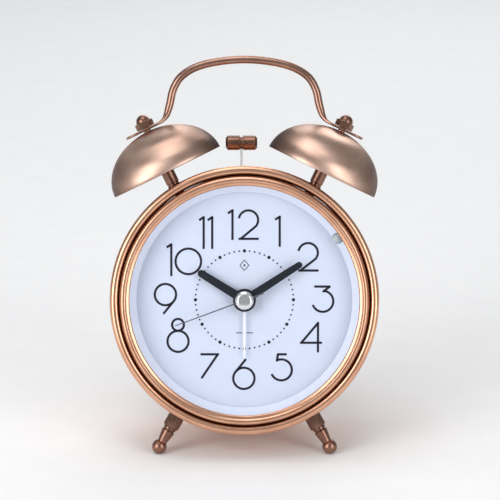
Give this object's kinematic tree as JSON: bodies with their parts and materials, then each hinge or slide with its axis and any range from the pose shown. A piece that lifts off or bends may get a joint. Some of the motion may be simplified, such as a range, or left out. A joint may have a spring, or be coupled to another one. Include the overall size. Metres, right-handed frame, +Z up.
{
  "type": "alarm clock",
  "caption": "Round twin-bell alarm clock that leans back on two ball feet, with a carrying handle, a hammer between the bells, and hands set by knobs at the back.",
  "frame": {"origin": "on the table under the middle of the standing clock", "axes": "+Z up, the dial faces -Y and leans back, +X to the right of someone reading the dial"},
  "size_m": [0.114, 0.079, 0.1608],
  "materials": {
    "copper_plate": "antique copper plate, polished",
    "bell_copper": "copper plate brushed in circles",
    "dark_copper": "antique copper plate, darkened",
    "clear_glass": "clear and polished",
    "dial_white": "smooth pale print",
    "hand_black": "satin black",
    "hand_steel": "polished",
    "hand_white": "satin white",
    "black_plastic": "moulded, fine grain",
    "back_panel": "copper-coloured lacquer",
    "white_plastic": "moulded",
    "brass_parts": "turned",
    "steel_parts": "zinc plated",
    "coil_wire": "enamelled wire",
    "board_green": "solder resist",
    "bulb_clear": "translucent",
    "cell_jacket": "printed sleeve"
  },
  "bodies": {
    "case": {"case_drum": "copper_plate", "front_bezel": "copper_plate", "lens": "clear_glass", "chapter_ring": "dial_white", "dial": "dial_white", "night_light_bulb": "bulb_clear", "handle": "copper_plate", "bell_left": "bell_copper", "bell_post_left": "dark_copper", "acorn_nut_left": "dark_copper", "post_nut_left": "dark_copper", "leg_left": "dark_copper", "leg_nut_left": "dark_copper", "leg_lock_nut_left": "dark_copper", "bell_right": "bell_copper", "bell_post_right": "dark_copper", "acorn_nut_right": "dark_copper", "post_nut_right": "dark_copper", "leg_right": "dark_copper", "leg_nut_right": "dark_copper", "leg_lock_nut_right": "dark_copper", "movement_front_case": "black_plastic", "movement_rear_case": "black_plastic", "dial_nut": "brass_parts", "stator": "steel_parts", "stepper_coil": "coil_wire", "circuit_board": "board_green", "hammer_bracket": "steel_parts", "hammer_coil": "coil_wire", "back_cover": "back_panel", "back_screw_left": "steel_parts", "back_screw_right": "steel_parts", "contact_spring": "steel_parts", "contact_plate": "steel_parts"},
    "time_setter": {"time_knob": "black_plastic", "minute_wheel": "white_plastic"},
    "alarm_setter": {"alarm_knob": "black_plastic", "alarm_pinion": "white_plastic"},
    "minute_work": {"minute_hand": "hand_black", "minute_pipe": "brass_parts"},
    "hour_work": {"hour_hand": "hand_black", "hour_wheel": "white_plastic"},
    "alarm_work": {"alarm_hand": "hand_white", "alarm_wheel": "white_plastic"},
    "second_work": {"second_hand": "hand_steel", "hand_cap": "hand_steel", "second_wheel": "white_plastic"},
    "third": {"third_wheel": "white_plastic"},
    "centre": {"centre_wheel": "white_plastic"},
    "intermediate": {"intermediate_wheel": "white_plastic"},
    "rotor": {"rotor": "steel_parts"},
    "hammer": {"hammer_arm": "steel_parts", "hammer_rod": "steel_parts", "hammer_head": "dark_copper"},
    "light_button": {"light_button": "black_plastic"},
    "alarm_switch": {"alarm_switch": "black_plastic"},
    "battery": {"battery": "cell_jacket"},
    "battery_door": {"battery_door": "back_panel"}
  },
  "joints": [
    {"name": "time_knob_turn", "type": "hinge", "parent": "case", "child": "time_setter", "pos_m": [0.012, 0.01664, 0.05596], "axis": [0, 0.9676, -0.2524], "continuous": true},
    {"name": "minute_spin", "type": "hinge", "parent": "case", "child": "minute_work", "pos_m": [0, -0.01722, 0.0648], "axis": [0, 0.9676, -0.2524], "continuous": true},
    {"name": "hour_spin", "type": "hinge", "parent": "case", "child": "hour_work", "pos_m": [0, -0.01722, 0.0648], "axis": [0, 0.9676, -0.2524], "continuous": true},
    {"name": "alarm_knob_turn", "type": "hinge", "parent": "case", "child": "alarm_setter", "pos_m": [-0.012, 0.01664, 0.05596], "axis": [0, 0.9676, -0.2524], "continuous": true},
    {"name": "alarm_spin", "type": "hinge", "parent": "case", "child": "alarm_work", "pos_m": [0, -0.01722, 0.0648], "axis": [0, 0.9676, -0.2524], "continuous": true},
    {"name": "second_spin", "type": "hinge", "parent": "case", "child": "second_work", "pos_m": [0, -0.01722, 0.0648], "axis": [0, 0.9676, -0.2524], "continuous": true},
    {"name": "rotor_spin", "type": "hinge", "parent": "case", "child": "rotor", "pos_m": [0, -0.00366, 0.07718], "axis": [0, 0.9676, -0.2524], "continuous": true},
    {"name": "intermediate_spin", "type": "hinge", "parent": "case", "child": "intermediate", "pos_m": [0, -0.00543, 0.0704], "axis": [0, 0.9676, -0.2524], "continuous": true},
    {"name": "third_spin", "type": "hinge", "parent": "case", "child": "third", "pos_m": [0, -0.01027, 0.05182], "axis": [0, 0.9676, -0.2524], "continuous": true},
    {"name": "centre_spin", "type": "hinge", "parent": "case", "child": "centre", "pos_m": [0, -0.00755, 0.06227], "axis": [0, 0.9676, -0.2524], "continuous": true},
    {"name": "hammer_swing", "type": "hinge", "parent": "case", "child": "hammer", "pos_m": [-0.0013, 0.00882, 0.09728], "axis": [0, 0.9676, -0.2524], "range_deg": [-4.3, 7.4], "stiffness_Nm_per_rad": 0.02},
    {"name": "light_button_press", "type": "slide", "parent": "case", "child": "light_button", "axis": [0, -0.9676, 0.2524], "range_m": [0, 0.002], "stiffness_N_per_m": 150},
    {"name": "alarm_switch_slide", "type": "slide", "parent": "case", "child": "alarm_switch", "axis": [1, 0, 0], "range_m": [0, 0.005]},
    {"name": "battery_out", "type": "slide", "parent": "case", "child": "battery", "axis": [0, 0.9676, -0.2524], "range_m": [0, 0.02]},
    {"name": "battery_door_pull", "type": "slide", "parent": "case", "child": "battery_door", "axis": [0, 0.9676, -0.2524], "range_m": [0, 0.04]}
  ],
  "couplings": [
    {"joint": "minute_spin", "follows": "time_knob_turn", "ratio": -3},
    {"joint": "hour_spin", "follows": "time_knob_turn", "ratio": -0.25},
    {"joint": "alarm_spin", "follows": "alarm_knob_turn", "ratio": -0.25},
    {"joint": "rotor_spin", "follows": "second_spin", "ratio": 30},
    {"joint": "intermediate_spin", "follows": "second_spin", "ratio": -5},
    {"joint": "third_spin", "follows": "second_spin", "ratio": -0.13333},
    {"joint": "centre_spin", "follows": "second_spin", "ratio": 0.016667},
    {"joint": "battery_door_pull", "follows": "battery_out", "ratio": 2}
  ]
}
